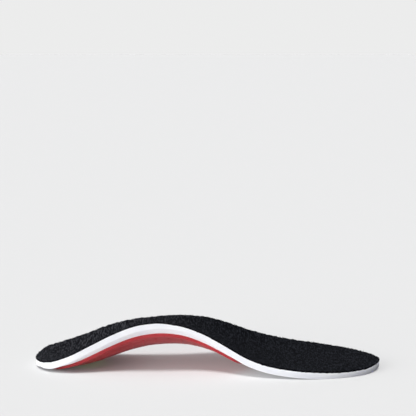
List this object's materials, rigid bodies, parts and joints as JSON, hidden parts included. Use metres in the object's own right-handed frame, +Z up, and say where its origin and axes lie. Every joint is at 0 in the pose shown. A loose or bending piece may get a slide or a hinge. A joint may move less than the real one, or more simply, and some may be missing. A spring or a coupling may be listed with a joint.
{
  "type": "cushioned insole",
  "caption": "Left arch-support shoe insole: fabric cover on a foam base, with a stiff arch shell and a round heel pad underneath.",
  "frame": {"origin": "centre of the bounding box, on the plane the insole rests on", "axes": "+X from heel to toe, +Y towards the outer (little-toe) side, +Z up"},
  "size_m": [0.263, 0.0956, 0.0415],
  "materials": {
    "cover_fabric": "black brushed knit, matt, slightly fuzzy",
    "base_foam": "white closed-cell foam, matt, cut edge",
    "shell_plastic": "deep red, slightly see-through, satin moulded",
    "pad_gel": "pale yellow soft cushion, matt"
  },
  "bodies": {
    "root": {"top_cover": "cover_fabric", "foam_base": "base_foam", "arch_shell": "shell_plastic", "heel_pad": "pad_gel"}
  },
  "joints": []
}
